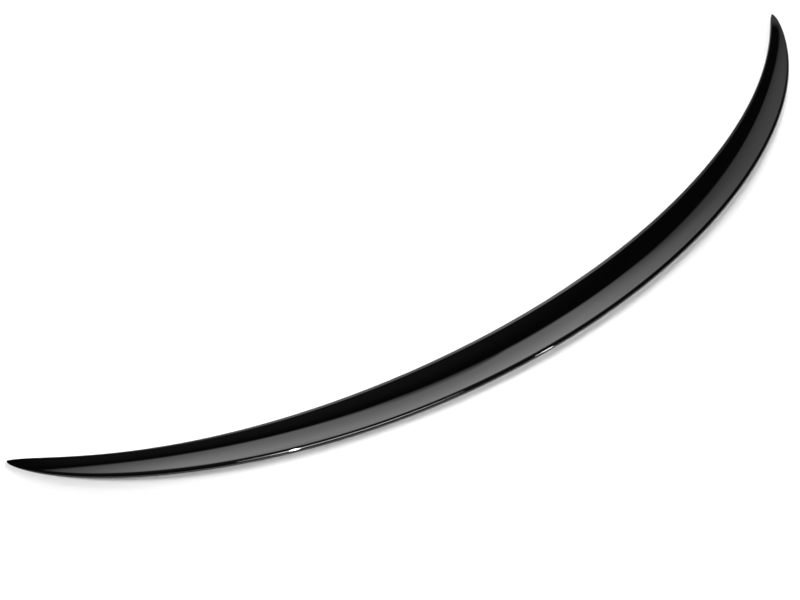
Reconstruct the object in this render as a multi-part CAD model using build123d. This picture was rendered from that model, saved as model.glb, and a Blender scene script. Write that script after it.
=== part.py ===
from build123d import *
import os
from math import cos, hypot, pi, radians, sin, tan

# Boot-lid lip spoiler: one moulding, glossy above, hollow and ribbed below.
# Millimetres. +X runs across the car, -Y points to the rear, and z = 0 is the bonding face.
# A station t runs from -1 at one tip, through 0 at the middle, to 1 at the other tip.

# Plan of the leading edge
tip_span = 1150.0           # from tip to tip
plan_sweep = 179.5          # the middle lies this far behind the tips
late_bend = 0.05            # share of the sweep that grows with the fourth power of t
tip_hook = 0.15             # share of the sweep that grows with the sixth power of t
tip_round = 2.5             # the leading edge curves back this far to round the tip off
tip_round_power = 65.0      # and does so with this power of t

# Section at the middle
section_depth = 57.2        # from the leading edge to the back of the lip
crest_height = 14.0         # top of the lip above the bonding face
edge_thickness = 2.6        # leading edge, where its bevel ends
nose_length = 4.6           # depth of the bevelled nose
bevel_slope = 13.0          # degrees
bevel_reach = 0.9           # reach of the bevel's slope, as a share of the nose
lip_radius = 3.2            # round of the trailing lip
lip_undercut = 31.0         # degrees by which the rear face leans in under the lip
ramp_slope = 31.5           # degrees, where the ramp meets the lip
front_reach = 0.78          # reach of the level front, as a share of its way to the corner
ramp_reach = 0.92           # reach of the ramp's slope, as a share of its way to the corner

# Section at the tips
shoulder_edge = 5.0         # the leading edge thickens towards this before the tip thins it
tip_depth = 1.4
tip_edge = 0.6
tip_radius = 0.35
tip_ramp_slope = 2.0        # degrees
tip_bevel_slope = 2.0       # degrees

# How the section fades from the middle to the tips
depth_power = 2.2
depth_root = 0.63
rise_power = 8.4
rise_root = 3.0
shoulder_power = 4.0
edge_power = 22.0
radius_power = 20.0
slope_power = 13.0
slope_root = 2.3
bevel_power = 3.0
nose_fade = 0.7             # the nose shortens with this power of the depth

# Hollow underside
wall = 2.5                  # skin under the ramp
rear_land = 6.0             # flat bonding strip along the rear
pocket_front_rise = 1.0     # the hollow starts where the ramp has risen this far
pocket_end_width = 8.0      # the hollow ends where it has narrowed to this
pocket_draft = 2.0          # degrees, so that the moulding leaves its tool
rib_thickness = 1.6
rib_pitch = 50.0            # measured across the car
rib_recess = 0.8            # the ribs stay this far above the bonding face

# Fineness of the lofts
body_sections = 81
pocket_sections = 17
roof_points = 6
nose_pieces = 3
lip_arcs = 3
cut_overlap = 1.0           # lofts start this far below the bonding face, which trims them

half_span = tip_span / 2
early_bend = 1 - late_bend - tip_hook
crest_rise = crest_height - edge_thickness
undercut = radians(lip_undercut)
draft = tan(radians(pocket_draft))


def sweep(t):
    """How far the leading edge at station t lies ahead of the middle."""
    return plan_sweep * (early_bend * t**2 + late_bend * t**4 + tip_hook * t**6)


def sweep_slope(t):
    """The slope of the leading edge in plan."""
    return plan_sweep / half_span * (2 * early_bend * t + 4 * late_bend * t**3 + 6 * tip_hook * t**5)


front_y = sweep(1) - tip_round / hypot(sweep_slope(1), 1)
middle_y = (section_depth - front_y) / 2  # puts the origin midway between lip and tips


def fade(middle, tip, t, power, root=1.0):
    """A size that falls from its middle value to its tip value."""
    return tip + (middle - tip) * max(0.0, 1 - abs(t) ** power) ** root


def between(a, b, s):
    return a + (b - a) * s


def bezier(handles, s):
    """A place on the curve of these handles, and the curve's direction there."""
    points = [Vector(*handle) for handle in handles]
    while len(points) > 2:
        points = [between(a, b, s) for a, b in zip(points, points[1:])]
    return between(*points, s), (points[1] - points[0]).normalized()


def solve(rising, low, high):
    """The place between low and high where a rising function passes zero."""
    for _ in range(50):
        guess = (low + high) / 2
        if rising(guess) < 0:
            low = guess
        else:
            high = guess
    return (low + high) / 2


class Section:
    """The upright section at station t, square to the leading edge: u runs back, w runs up."""

    def __init__(self, t):
        rounding = tip_round * abs(t) ** tip_round_power
        self.back = Vector(sweep_slope(t), -1).normalized()
        self.origin = Vector(half_span * t, middle_y + sweep(t)) + self.back * rounding

        self.depth = fade(section_depth, tip_depth + tip_round, t, depth_power, depth_root) - rounding
        thickness = between(edge_thickness, shoulder_edge, abs(t) ** shoulder_power)
        self.edge = fade(thickness, tip_edge, t, edge_power)
        self.height = self.edge + fade(crest_rise, 0, t, rise_power, rise_root)
        self.nose = nose_length * (self.depth / section_depth) ** nose_fade
        self.bevel = tan(radians(fade(bevel_slope, tip_bevel_slope, t, bevel_power)))
        self.slope = radians(fade(ramp_slope, tip_ramp_slope, t, slope_power, slope_root))
        self.radius = fade(lip_radius, tip_radius, t, radius_power)
        self.lip_u = self.depth - self.radius
        self.lip_w = self.height - self.radius
        self.lip_start = pi / 2 + self.slope    # angle round the lip at which the ramp ends

        under_u, under_w = self.lip_point(-undercut)
        self.base = under_u - under_w * tan(undercut)
        self.ramp = self.ramp_handles()

    def at(self, place):
        """The point in space of a place (u, w) in the section."""
        u, w = place
        return self.origin + self.back * u + Vector(0, 0, w)

    def lip_point(self, angle):
        return self.lip_u + self.radius * cos(angle), self.lip_w + self.radius * sin(angle)

    def nose_handles(self):
        """The leading edge: upright at its foot, then rounded over into a bevel."""
        reach = bevel_reach * self.nose
        return [
            (0, 0),
            (0, self.edge - self.nose * self.bevel),
            (self.nose - reach, self.edge - reach * self.bevel),
            (self.nose, self.edge),
        ]

    def ramp_handles(self):
        """A level front that bends up, about the corner of their two lines, into the ramp."""
        end_u, end_w = self.lip_point(self.lip_start)
        corner_u = end_u - (end_w - self.edge) / tan(self.slope)
        return [
            (self.nose, self.edge),
            (between(self.nose, corner_u, front_reach), self.edge),
            (between(end_u, corner_u, ramp_reach), between(end_w, self.edge, ramp_reach)),
            (end_u, end_w),
        ]

    def roof(self, s):
        """A place one wall thickness inside the ramp, from s = 0 at its start to 1 at its end."""
        place, along = bezier(self.ramp, s)
        return place.X + wall * along.Y, place.Y - wall * along.X

    def pocket_limits(self):
        """Where along the ramp the hollow's front and rear walls stand."""
        start_height = self.edge + pocket_front_rise
        rear_wall = self.base - rear_land
        front = solve(lambda s: bezier(self.ramp, s)[0].Y - start_height, 0, 1)
        rear = solve(lambda s: self.roof(s)[0] + draft * self.roof(s)[1] - rear_wall, 0, 1)
        return front, rear

    def pocket_width(self):
        front, rear = self.pocket_limits()
        return self.roof(rear)[0] - self.roof(front)[0]

    def nose_edges(self):
        nose = Edge.make_bezier(*map(self.at, self.nose_handles()))
        return [nose.trim(i / nose_pieces, (i + 1) / nose_pieces) for i in range(nose_pieces)]

    def lip_edges(self):
        """The trailing lip, from the end of the ramp round to the rear face, in equal arcs."""
        turn = -undercut - self.lip_start
        angles = [self.lip_start + turn * i / (2 * lip_arcs) for i in range(2 * lip_arcs + 1)]
        places = [self.at(self.lip_point(angle)) for angle in angles]
        return [Edge.make_three_point_arc(*places[i:i + 3]) for i in range(0, 2 * lip_arcs, 2)]

    def outer_wire(self):
        front_foot = self.at((0, -cut_overlap))
        rear_foot = self.at((self.base - cut_overlap * tan(undercut), -cut_overlap))
        return Wire([
            Edge.make_line(front_foot, self.at((0, 0))),
            *self.nose_edges(),
            Edge.make_bezier(*map(self.at, self.ramp)),
            *self.lip_edges(),
            Edge.make_line(self.at(self.lip_point(-undercut)), rear_foot),
            Edge.make_line(rear_foot, front_foot),
        ])

    def pocket_wire(self):
        front, rear = self.pocket_limits()
        roof = [self.roof(between(front, rear, i / (roof_points - 1))) for i in range(roof_points)]
        front_foot = (roof[0][0] - draft * (roof[0][1] + cut_overlap), -cut_overlap)
        rear_foot = (roof[-1][0] + draft * (roof[-1][1] + cut_overlap), -cut_overlap)
        return Wire([
            Edge.make_line(self.at(front_foot), self.at(roof[0])),
            Edge.make_spline([self.at(place) for place in roof]),
            Edge.make_line(self.at(roof[-1]), self.at(rear_foot)),
            Edge.make_line(self.at(rear_foot), self.at(front_foot)),
        ])


def make_body():
    """The full moulding, lofted from tip to tip with sections closer towards the tips, cut flat below."""
    turns = [pi * i / (body_sections - 1) - pi / 2 for i in range(body_sections)]
    loft = Solid.make_loft([Section(sin(turn)).outer_wire() for turn in turns])
    return loft.split(Plane.XY, keep=Keep.TOP)


def make_hollow():
    """The space under the ramp, divided by the ribs."""
    end = solve(lambda t: pocket_end_width - Section(t).pocket_width(), 0, 1)
    stations = [end * (2 * i / (pocket_sections - 1) - 1) for i in range(pocket_sections)]
    hollow = Solid.make_loft([Section(t).pocket_wire() for t in stations])
    ribs_each_side = int((end * half_span - rib_pitch / 2) / rib_pitch)
    for i in range(-ribs_each_side, ribs_each_side + 1):
        hollow -= make_rib(Section(i * rib_pitch / half_span))
    return hollow


def make_rib(section):
    """A plate square to the leading edge, tall and deep enough to cross the hollow."""
    foot = section.at((section.depth / 2, rib_recess))
    plane = Plane(foot, x_dir=section.back, z_dir=(0, 0, 1))
    grounded = (Align.CENTER, Align.CENTER, Align.MIN)
    return plane * Box(section.depth, rib_thickness, section.height, align=grounded)


spoiler = make_body() - make_hollow()
spoiler.label = "spoiler"

os.makedirs("parts", exist_ok=True)
export_step(spoiler, "parts/spoiler.step")
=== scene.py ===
from math import asin, ceil, cos, hypot, pi, radians, sin, tan

import bmesh
import bpy
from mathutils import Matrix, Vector


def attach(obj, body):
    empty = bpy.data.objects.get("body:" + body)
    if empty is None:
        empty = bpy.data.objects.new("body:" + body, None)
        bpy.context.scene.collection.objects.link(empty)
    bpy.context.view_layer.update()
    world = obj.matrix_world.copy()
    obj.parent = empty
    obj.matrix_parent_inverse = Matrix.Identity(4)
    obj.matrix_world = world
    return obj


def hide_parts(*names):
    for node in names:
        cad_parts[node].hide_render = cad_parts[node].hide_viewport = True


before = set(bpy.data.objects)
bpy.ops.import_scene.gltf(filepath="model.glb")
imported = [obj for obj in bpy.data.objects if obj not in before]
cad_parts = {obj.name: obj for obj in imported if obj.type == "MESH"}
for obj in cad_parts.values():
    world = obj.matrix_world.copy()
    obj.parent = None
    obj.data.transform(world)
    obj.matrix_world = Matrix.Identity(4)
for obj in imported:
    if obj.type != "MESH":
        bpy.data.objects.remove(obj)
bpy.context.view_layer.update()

# A gloss-black boot-lid lip spoiler on a white studio floor.
# Metres. +X runs across the car, -Y points to the rear, and z = 0 is the bonding face.
# The skin is the solid's own form, drawn finely enough for clean reflections.
# A station t runs from -1 at one tip, through 0 at the middle, to 1 at the other tip.

# Plan of the leading edge
TIP_SPAN = 1.150
PLAN_SWEEP = 0.1795         # the middle lies this far behind the tips
LATE_BEND = 0.05            # share of the sweep that grows with the fourth power of t
TIP_HOOK = 0.15             # share of the sweep that grows with the sixth power of t
TIP_ROUND = 0.0025          # the leading edge curves back this far to round the tip off
TIP_ROUND_POWER = 65.0      # and does so with this power of t

# Section at the middle
SECTION_DEPTH = 0.0572      # from the leading edge to the back of the lip
CREST_HEIGHT = 0.014        # top of the lip above the bonding face
EDGE_THICKNESS = 0.0026     # leading edge, where its bevel ends
NOSE_LENGTH = 0.0046        # depth of the bevelled nose
BEVEL_SLOPE = radians(13)
BEVEL_REACH = 0.9           # reach of the bevel's slope, as a share of the nose
LIP_RADIUS = 0.0032
LIP_UNDERCUT = radians(31)  # the rear face leans in under the lip
RAMP_SLOPE = radians(31.5)  # where the ramp meets the lip
FRONT_REACH = 0.78          # reach of the level front, as a share of its way to the corner
RAMP_REACH = 0.92           # reach of the ramp's slope, as a share of its way to the corner

# Section at the tips
SHOULDER_EDGE = 0.005       # the leading edge thickens towards this before the tip thins it
TIP_DEPTH = 0.0014
TIP_EDGE = 0.0006
TIP_RADIUS = 0.00035
TIP_RAMP_SLOPE = radians(2)
TIP_BEVEL_SLOPE = radians(2)

# How the section fades from the middle to the tips
DEPTH_POWER = 2.2
DEPTH_ROOT = 0.63
RISE_POWER = 8.4
RISE_ROOT = 3.0
SHOULDER_POWER = 4.0
EDGE_POWER = 22.0
RADIUS_POWER = 20.0
SLOPE_POWER = 13.0
SLOPE_ROOT = 2.3
BEVEL_POWER = 3.0
NOSE_FADE = 0.7             # the nose shortens with this power of the depth

# Hollow underside
WALL = 0.0025               # skin under the ramp
REAR_LAND = 0.006           # flat bonding strip along the rear
POCKET_FRONT_RISE = 0.001   # the hollow starts where the ramp has risen this far
POCKET_END_WIDTH = 0.008    # the hollow ends where it has narrowed to this
POCKET_DRAFT = tan(radians(2))
RIB_THICKNESS = 0.0016
RIB_PITCH = 0.050           # measured across the car
RIB_RECESS = 0.0008         # the ribs stay this far above the bonding face

# Fineness of the mesh
STATION_STEP = radians(0.5)
NOSE_STEPS = 12
RAMP_STEPS = 44
LIP_STEPS = 18
ROOF_STEPS = 10
SHARP_ANGLE = radians(35)
SOLVER_STEPS = 50

HALF_SPAN = TIP_SPAN / 2
EARLY_BEND = 1 - LATE_BEND - TIP_HOOK
CREST_RISE = CREST_HEIGHT - EDGE_THICKNESS


def sweep(t):
    """How far the leading edge at station t lies ahead of the middle."""
    return PLAN_SWEEP * (EARLY_BEND * t**2 + LATE_BEND * t**4 + TIP_HOOK * t**6)


def sweep_slope(t):
    """The slope of the leading edge in plan."""
    return PLAN_SWEEP / HALF_SPAN * (2 * EARLY_BEND * t + 4 * LATE_BEND * t**3 + 6 * TIP_HOOK * t**5)


FRONT_Y = sweep(1) - TIP_ROUND / hypot(sweep_slope(1), 1)
MIDDLE_Y = (SECTION_DEPTH - FRONT_Y) / 2    # puts the origin midway between lip and tips


def fade(middle, tip, t, power, root=1.0):
    """A size that falls from its middle value to its tip value."""
    return tip + (middle - tip) * max(0.0, 1 - abs(t) ** power) ** root


def between(a, b, s):
    return a + (b - a) * s


def bezier(handles, s):
    """A place on the curve of these handles, and the curve's direction there."""
    points = [Vector(handle) for handle in handles]
    while len(points) > 2:
        points = [between(a, b, s) for a, b in zip(points, points[1:])]
    return between(*points, s), (points[1] - points[0]).normalized()


def solve(rising, low, high):
    """The place between low and high where a rising function passes zero."""
    for _ in range(SOLVER_STEPS):
        guess = (low + high) / 2
        if rising(guess) < 0:
            low = guess
        else:
            high = guess
    return (low + high) / 2


class Section:
    """The upright section at station t, square to the leading edge: u runs back, w runs up."""

    def __init__(self, t):
        rounding = TIP_ROUND * abs(t) ** TIP_ROUND_POWER
        self.stretch = hypot(sweep_slope(t), 1)     # length of the leading edge for each step across
        self.back = Vector((sweep_slope(t), -1, 0)).normalized()
        self.origin = Vector((HALF_SPAN * t, MIDDLE_Y + sweep(t), 0)) + self.back * rounding

        self.depth = fade(SECTION_DEPTH, TIP_DEPTH + TIP_ROUND, t, DEPTH_POWER, DEPTH_ROOT) - rounding
        thickness = between(EDGE_THICKNESS, SHOULDER_EDGE, abs(t) ** SHOULDER_POWER)
        self.edge = fade(thickness, TIP_EDGE, t, EDGE_POWER)
        self.height = self.edge + fade(CREST_RISE, 0, t, RISE_POWER, RISE_ROOT)
        self.nose = NOSE_LENGTH * (self.depth / SECTION_DEPTH) ** NOSE_FADE
        self.bevel = tan(fade(BEVEL_SLOPE, TIP_BEVEL_SLOPE, t, BEVEL_POWER))
        self.slope = fade(RAMP_SLOPE, TIP_RAMP_SLOPE, t, SLOPE_POWER, SLOPE_ROOT)
        self.radius = fade(LIP_RADIUS, TIP_RADIUS, t, RADIUS_POWER)
        self.lip_u = self.depth - self.radius
        self.lip_w = self.height - self.radius
        self.lip_start = pi / 2 + self.slope        # angle round the lip at which the ramp ends

        under_u, under_w = self.lip_point(-LIP_UNDERCUT)
        self.base = under_u - under_w * tan(LIP_UNDERCUT)
        self.ramp = self.ramp_handles()

    def at(self, place):
        """The point in space of a place (u, w) in the section."""
        u, w = place
        return self.origin + self.back * u + Vector((0, 0, w))

    def lip_point(self, angle):
        return self.lip_u + self.radius * cos(angle), self.lip_w + self.radius * sin(angle)

    def nose_handles(self):
        """The leading edge: upright at its foot, then rounded over into a bevel."""
        reach = BEVEL_REACH * self.nose
        return [
            (0, 0),
            (0, self.edge - self.nose * self.bevel),
            (self.nose - reach, self.edge - reach * self.bevel),
            (self.nose, self.edge),
        ]

    def ramp_handles(self):
        """A level front that bends up, about the corner of their two lines, into the ramp."""
        end_u, end_w = self.lip_point(self.lip_start)
        corner_u = end_u - (end_w - self.edge) / tan(self.slope)
        return [
            (self.nose, self.edge),
            (between(self.nose, corner_u, FRONT_REACH), self.edge),
            (between(end_u, corner_u, RAMP_REACH), between(end_w, self.edge, RAMP_REACH)),
            (end_u, end_w),
        ]

    def outline(self):
        """The painted side, from the foot of the nose over the ramp and the lip to the rear foot."""
        nose = [bezier(self.nose_handles(), i / NOSE_STEPS)[0] for i in range(NOSE_STEPS)]
        ramp = [bezier(self.ramp, i / RAMP_STEPS)[0] for i in range(RAMP_STEPS)]
        turn = -LIP_UNDERCUT - self.lip_start
        lip = [self.lip_point(self.lip_start + turn * i / LIP_STEPS) for i in range(LIP_STEPS + 1)]
        return [*nose, *ramp, *lip, (self.base, 0)]

    def roof(self, s):
        """A place one wall thickness inside the ramp, from s = 0 at its start to 1 at its end."""
        place, along = bezier(self.ramp, s)
        return place.x + WALL * along.y, place.y - WALL * along.x

    def pocket_limits(self):
        """Where along the ramp the hollow's front and rear walls stand."""
        start_height = self.edge + POCKET_FRONT_RISE
        rear_wall = self.base - REAR_LAND
        front = solve(lambda s: bezier(self.ramp, s)[0].y - start_height, 0, 1)
        rear = solve(lambda s: self.roof(s)[0] + POCKET_DRAFT * self.roof(s)[1] - rear_wall, 0, 1)
        return front, rear

    def pocket_width(self):
        front, rear = self.pocket_limits()
        return self.roof(rear)[0] - self.roof(front)[0]

    def pocket(self):
        """The hollow, from its front foot up the wall, along the roof and down to its rear foot."""
        front, rear = self.pocket_limits()
        roof = [self.roof(between(front, rear, i / ROOF_STEPS)) for i in range(ROOF_STEPS + 1)]
        levels = (0, RIB_RECESS)
        front_wall = [(roof[0][0] - POCKET_DRAFT * (roof[0][1] - w), w) for w in levels]
        rear_wall = [(roof[-1][0] + POCKET_DRAFT * (roof[-1][1] - w), w) for w in reversed(levels)]
        return [*front_wall, *roof, *rear_wall]


# Layout of the ribs and of the stations

def rib_edges(pocket_end):
    """The two stations of each rib's sides."""
    each_side = int((pocket_end * HALF_SPAN - RIB_PITCH / 2) / RIB_PITCH)
    edges = []
    for i in range(-each_side, each_side + 1):
        middle = i * RIB_PITCH / HALF_SPAN
        half = RIB_THICKNESS / 2 / (HALF_SPAN * Section(middle).stretch)
        edges.append((middle - half, middle + half))
    return edges


def spread(breaks):
    """Stations through all the breaks, closer together towards the tips."""
    turns = [asin(t) for t in breaks]
    stations = [breaks[0]]
    for (a, b), t in zip(zip(turns, turns[1:]), breaks[1:]):
        steps = ceil((b - a) / STATION_STEP)
        stations += [sin(a + (b - a) * i / steps) for i in range(1, steps)]
        stations.append(t)
    return stations


# The moulding

PAINTED = 0                 # places in the mesh's list of materials
BARE = 1


def add_object(name, data):
    thing = bpy.data.objects.new(name, data)
    bpy.context.scene.collection.objects.link(thing)
    return thing


def strip(mesh, row, next_row, material):
    """Quads between two rows of points."""
    for i in range(len(row) - 1):
        patch(mesh, (row[i], row[i + 1], next_row[i + 1], next_row[i]), material)


def patch(mesh, points, material):
    """One face."""
    mesh.faces.new(points).material_index = material


def make_blade():
    pocket_end = solve(lambda t: POCKET_END_WIDTH - Section(t).pocket_width(), 0, 1)
    ribs = rib_edges(pocket_end)
    rib_starts = {start for start, end in ribs}
    rib_sides = {side for rib in ribs for side in rib}
    stations = spread([-1, -pocket_end, *sorted(rib_sides), pocket_end, 1])
    sections = [Section(t) for t in stations]

    mesh = bmesh.new()
    outer = [[mesh.verts.new(s.at(place)) for place in s.outline()] for s in sections]
    inner = [
        [mesh.verts.new(s.at(place)) for place in s.pocket()] if abs(t) <= pocket_end else []
        for t, s in zip(stations, sections)
    ]

    patch(mesh, outer[0], PAINTED)
    patch(mesh, outer[-1], PAINTED)
    for i in range(len(stations) - 1):
        strip(mesh, outer[i], outer[i + 1], PAINTED)
        make_underside(mesh, outer[i:i + 2], inner[i:i + 2], stations[i] in rib_starts)
    for t, row in zip(stations, inner):
        if abs(t) == pocket_end:
            patch(mesh, row, BARE)
        elif t in rib_sides:
            patch(mesh, row[1:-1], BARE)

    bmesh.ops.recalc_face_normals(mesh, faces=mesh.faces)
    blade = bpy.data.meshes.new("spoiler_skin")
    mesh.to_mesh(blade)
    mesh.free()
    blade.shade_smooth()
    blade.set_sharp_from_angle(angle=SHARP_ANGLE)
    blade.materials.append(lacquer())
    blade.materials.append(bare_moulding())
    return add_object("spoiler_skin", blade)


def make_underside(mesh, outer, inner, is_rib):
    """The bonding lands, and the hollow or a rib, between two neighbouring stations."""
    (front, rear), (next_front, next_rear) = [(row[0], row[-1]) for row in outer]
    row, next_row = inner
    if row and next_row:
        strip(mesh, (front, row[0]), (next_front, next_row[0]), BARE)
        strip(mesh, (row[-1], rear), (next_row[-1], next_rear), BARE)
        if is_rib:
            strip(mesh, row[:2], next_row[:2], BARE)
            strip(mesh, row[-2:], next_row[-2:], BARE)
            strip(mesh, (row[1], row[-2]), (next_row[1], next_row[-2]), BARE)
        else:
            strip(mesh, row, next_row, BARE)
    else:
        shared = [row[0], row[-1]] if row else []
        next_shared = [next_row[-1], next_row[0]] if next_row else []
        patch(mesh, [front, *shared, rear, next_rear, *next_shared, next_front], BARE)


# Materials

LACQUER_COLOUR = (0.0006, 0.0006, 0.0007, 1)
LACQUER_IOR = 1.5
LACQUER_ROUGHNESS = (0.02, 0.05)
RIPPLE_HEIGHT = 0.000004
PLASTIC_COLOUR = (0.012, 0.012, 0.013, 1)
PLASTIC_ROUGHNESS = (0.38, 0.55)
GRAIN_HEIGHT = 0.00003

# Noise patterns: scale per metre, and detail
HAZE = (18, 3)
RIPPLE = (160, 1)
GRAIN = (1400, 2)
NOISE_RANGE = (0.35, 0.65)  # nearly all of a noise pattern lies in this


def new_material(name):
    material = bpy.data.materials.new(name)
    material.use_nodes = True
    return material, material.node_tree


def map_range(tree, value, old_range, new_range, interpolation="LINEAR"):
    """A value carried from one range to another, and held at the ends."""
    node = tree.nodes.new("ShaderNodeMapRange")
    node.interpolation_type = interpolation
    names = ("From Min", "From Max", "To Min", "To Max")
    for name, limit in zip(names, (*old_range, *new_range)):
        node.inputs[name].default_value = limit
    tree.links.new(value, node.inputs["Value"])
    return node.outputs["Result"]


def noise(tree, scale, detail):
    """Noise in the object's own space."""
    place = tree.nodes.new("ShaderNodeTexCoord")
    texture = tree.nodes.new("ShaderNodeTexNoise")
    texture.inputs["Scale"].default_value = scale
    texture.inputs["Detail"].default_value = detail
    tree.links.new(place.outputs["Object"], texture.inputs["Vector"])
    return texture.outputs["Fac"]


def vary_roughness(tree, pattern, limits):
    roughness = map_range(tree, pattern, NOISE_RANGE, limits)
    tree.links.new(roughness, tree.nodes["Principled BSDF"].inputs["Roughness"])


def bump(tree, pattern, height):
    relief = tree.nodes.new("ShaderNodeBump")
    relief.inputs["Distance"].default_value = height
    tree.links.new(pattern, relief.inputs["Height"])
    tree.links.new(relief.outputs["Normal"], tree.nodes["Principled BSDF"].inputs["Normal"])


def lacquer():
    """Deep black gloss with the faint ripple of sprayed paint."""
    material, tree = new_material("gloss_black_lacquer")
    shader = tree.nodes["Principled BSDF"]
    shader.inputs["Base Color"].default_value = LACQUER_COLOUR
    shader.inputs["IOR"].default_value = LACQUER_IOR
    vary_roughness(tree, noise(tree, *HAZE), LACQUER_ROUGHNESS)
    bump(tree, noise(tree, *RIPPLE), RIPPLE_HEIGHT)
    return material


def bare_moulding():
    """Unpainted black plastic with a fine satin grain."""
    material, tree = new_material("bare_black_plastic")
    tree.nodes["Principled BSDF"].inputs["Base Color"].default_value = PLASTIC_COLOUR
    grain = noise(tree, *GRAIN)
    vary_roughness(tree, grain, PLASTIC_ROUGHNESS)
    bump(tree, grain, GRAIN_HEIGHT)
    return material


# Floor and backdrop

FLOOR_REACH = 40.0
FLOOR_GAP = 0.0001          # below the bonding face
FLOOR_ALBEDO = 0.85
BACKDROP_RADIUS = 36.0
BACKDROP_GLOW = 1.1
BACKDROP_SEGMENTS = 48
BACKDROP_RINGS = 24
WHITE = (1, 1, 1, 1)


def add_stage(name, mesh):
    piece = add_object(name, mesh)
    return piece


def make_floor():
    mesh = bpy.data.meshes.new("floor")
    reach = FLOOR_REACH
    corners = [(-reach, -reach), (reach, -reach), (reach, reach), (-reach, reach)]
    mesh.from_pydata([(x, y, -FLOOR_GAP) for x, y in corners], [], [(0, 1, 2, 3)])
    material, tree = new_material("white_floor")
    shader = tree.nodes["Principled BSDF"]
    shader.inputs["Base Color"].default_value = (FLOOR_ALBEDO, FLOOR_ALBEDO, FLOOR_ALBEDO, 1)
    shader.inputs["Roughness"].default_value = 1.0
    shader.inputs["Specular IOR Level"].default_value = 0.0
    mesh.materials.append(material)
    add_stage("floor", mesh)


def glowing(name):
    """A material that does nothing but glow, its node tree and the strength of its glow."""
    material, tree = new_material(name)
    emission = tree.nodes.new("ShaderNodeEmission")
    tree.links.new(emission.outputs["Emission"], tree.nodes["Material Output"].inputs["Surface"])
    return material, tree, emission.inputs["Strength"]


def make_backdrop():
    """A white dome that only the camera sees."""
    dome = bmesh.new()
    bmesh.ops.create_uvsphere(
        dome, u_segments=BACKDROP_SEGMENTS, v_segments=BACKDROP_RINGS, radius=BACKDROP_RADIUS)
    mesh = bpy.data.meshes.new("backdrop")
    dome.to_mesh(mesh)
    dome.free()
    material, _, strength = glowing("white_backdrop")
    strength.default_value = BACKDROP_GLOW
    mesh.materials.append(material)
    backdrop = add_stage("backdrop", mesh)
    backdrop.visible_glossy = False
    backdrop.visible_diffuse = False
    backdrop.visible_shadow = False


# The wall of light ahead of the blade, column by column: place at its foot, height, length over
# which the glow fades out at the top, and radiance.
WALL_COLUMNS = [
    (-1.60, 0.53, 0.18, 0.30),
    (-0.60, 0.81, 0.18, 1.00),
    (-0.12, 0.94, 0.18, 2.20),
    (0.02, 0.95, 0.25, 2.10),
    (0.14, 0.91, 0.46, 2.05),
    (0.30, 0.93, 0.48, 2.05),
    (0.42, 1.08, 0.22, 2.10),
    (0.60, 1.14, 0.18, 2.10),
    (0.92, 1.15, 0.18, 0.64),
    (1.20, 1.12, 0.18, 0.47),
    (1.34, 1.03, 0.18, 0.41),
    (3.00, 1.00, 0.18, 0.36),
]
WALL_Y = 1.0
WALL_LEAN = 0.25            # the columns lean to the right by this share of their height


def make_wall():
    """A wall that only reflections see. Its glow is stored at the corners of its faces."""
    points, glow = [], []
    for x, height, fade_out, radiance in WALL_COLUMNS:
        for z, share in ((0, 1), (height - fade_out / 2, 1), (height + fade_out / 2, 0)):
            points.append((x + WALL_LEAN * z, WALL_Y, z))
            glow.append(share * radiance)
    levels = len(points) // len(WALL_COLUMNS)
    below_top = [i for i in range(len(points) - levels) if (i + 1) % levels]
    mesh = bpy.data.meshes.new("wall")
    mesh.from_pydata(points, [], [(i, i + levels, i + levels + 1, i + 1) for i in below_top])
    mesh.attributes.new("glow", "FLOAT", "POINT").data.foreach_set("value", glow)

    material, tree, strength = glowing("wall_light")
    stored = tree.nodes.new("ShaderNodeAttribute")
    stored.attribute_name = "glow"
    tree.links.new(stored.outputs["Fac"], strength)
    mesh.materials.append(material)
    wall = add_stage("wall", mesh)
    wall.visible_camera = False
    wall.visible_diffuse = False
    wall.visible_shadow = False


# Lights

# Soft light from far away: azimuth from straight ahead (+Y) towards +X, elevation and spread in
# degrees, and the radiance that it gives the open floor.
SUNS = {
    "high_sun": (307, 67.5, 33.5, 0.44),
    "left_sun": (282, 21.5, 13.5, 0.23),
    "front_sun": (57.5, 6, 20, 0.29),
    "right_sun": (113.5, 6.2, 25, 0.35),
}

# Lamps that show only as highlights: place, aim, width, height and radiance.
LAMPS = {
    "strip": ((-0.40, -0.62, 0.90), (-0.35, -0.05, 0), 0.88, 0.26, 17),
    "flash": ((-0.660, -0.80, 0.90), (-0.345, 0, 0), 0.035, 0.60, 360),
    "flash_rim": ((-0.700, -0.80, 0.90), (-0.345, 0, 0), 0.16, 0.60, 5.5),
    "spot": ((0.44, -1.35, 0.56), (-0.09, -0.11, 0), 0.045, 0.45, 95),
}

# The sky: its glow at the horizon, in the dark band above that and overhead, and the elevations
# between which one gives way to the next.
HORIZON_GLOW = 1.6
DARK_GLOW = 0.012
CEILING_GLOW = 0.1
HORIZON_FADE = (radians(4), radians(9))
CEILING_FADE = (radians(46), radians(62))


def direction(azimuth, elevation):
    """A direction from degrees: azimuth from straight ahead (+Y) towards +X, and elevation."""
    azimuth, elevation = radians(azimuth), radians(elevation)
    return Vector((sin(azimuth) * cos(elevation), cos(azimuth) * cos(elevation), sin(elevation)))


def face_away(thing, back):
    """Turn a light or a camera so that this direction lies behind it."""
    thing.rotation_mode = "QUATERNION"
    thing.rotation_quaternion = back.to_track_quat("Z", "Y")


def make_sun(name, azimuth, elevation, spread_angle, floor_glow):
    towards = direction(azimuth, elevation)
    light = bpy.data.lights.new(name, "SUN")
    light.energy = floor_glow * pi / (FLOOR_ALBEDO * towards.z)
    light.angle = radians(spread_angle)
    sun = add_object(name, light)
    face_away(sun, towards)
    sun.visible_glossy = False


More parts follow.
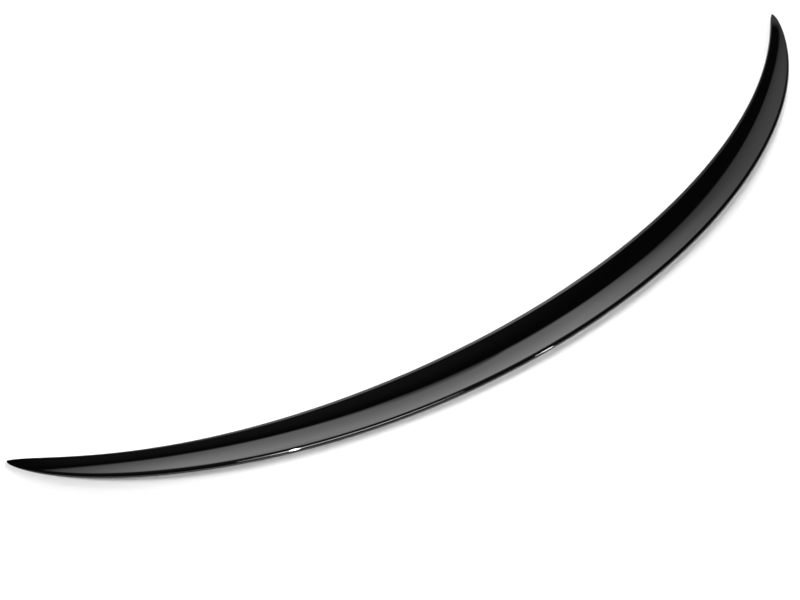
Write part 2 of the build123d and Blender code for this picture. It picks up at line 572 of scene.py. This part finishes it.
def make_lamp(name, place, aim, width, height, radiance):
    light = bpy.data.lights.new(name, "AREA")
    light.shape = "ELLIPSE"
    light.size = width
    light.size_y = height
    area = pi / 4 * width * height
    light.energy = radiance * pi * area
    lamp = add_object(name, light)
    lamp.location = place
    face_away(lamp, Vector(place) - Vector(aim))
    lamp.visible_diffuse = False
    lamp.visible_camera = False


def make_lights():
    for name, values in SUNS.items():
        make_sun(name, *values)
    for name, values in LAMPS.items():
        make_lamp(name, *values)


def make_world():
    """White round the horizon, then dark, with a faint glow overhead."""
    world = bpy.data.worlds.new("studio")
    bpy.context.scene.world = world
    world.use_nodes = True
    tree = world.node_tree
    place = tree.nodes.new("ShaderNodeTexCoord")
    split = tree.nodes.new("ShaderNodeSeparateXYZ")
    tree.links.new(place.outputs["Generated"], split.inputs["Vector"])

    def glow(fade_angles, low, high):
        heights = [sin(angle) for angle in fade_angles]
        return map_range(tree, split.outputs["Z"], heights, (low, high), "SMOOTHSTEP")

    total = tree.nodes.new("ShaderNodeMath")
    total.operation = "ADD"
    tree.links.new(glow(HORIZON_FADE, HORIZON_GLOW, DARK_GLOW), total.inputs[0])
    tree.links.new(glow(CEILING_FADE, 0, CEILING_GLOW), total.inputs[1])
    background = tree.nodes["Background"]
    background.inputs["Color"].default_value = WHITE
    tree.links.new(total.outputs["Value"], background.inputs["Strength"])


# Camera

VIEW_AIM = Vector((-0.1619, 0.0385, 0))
VIEW_AZIMUTH = 218.02       # degrees from straight ahead, as for the suns
VIEW_ELEVATION = 52.5       # degrees
VIEW_DISTANCE = 0.9776
VIEW_LENS = 40.5            # millimetres
VIEW_CLIP = 0.01


def make_camera():
    back = direction(VIEW_AZIMUTH, VIEW_ELEVATION)
    data = bpy.data.cameras.new("camera")
    data.lens = VIEW_LENS
    data.clip_start = VIEW_CLIP
    camera = add_object("camera", data)
    camera.location = VIEW_AIM + back * VIEW_DISTANCE
    face_away(camera, back)
    bpy.context.scene.camera = camera


spoiler = make_blade()
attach(spoiler, "root")
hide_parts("spoiler")

make_floor()
make_backdrop()
make_wall()
make_lights()
make_world()
make_camera()
bpy.context.scene.view_settings.view_transform = "Standard"
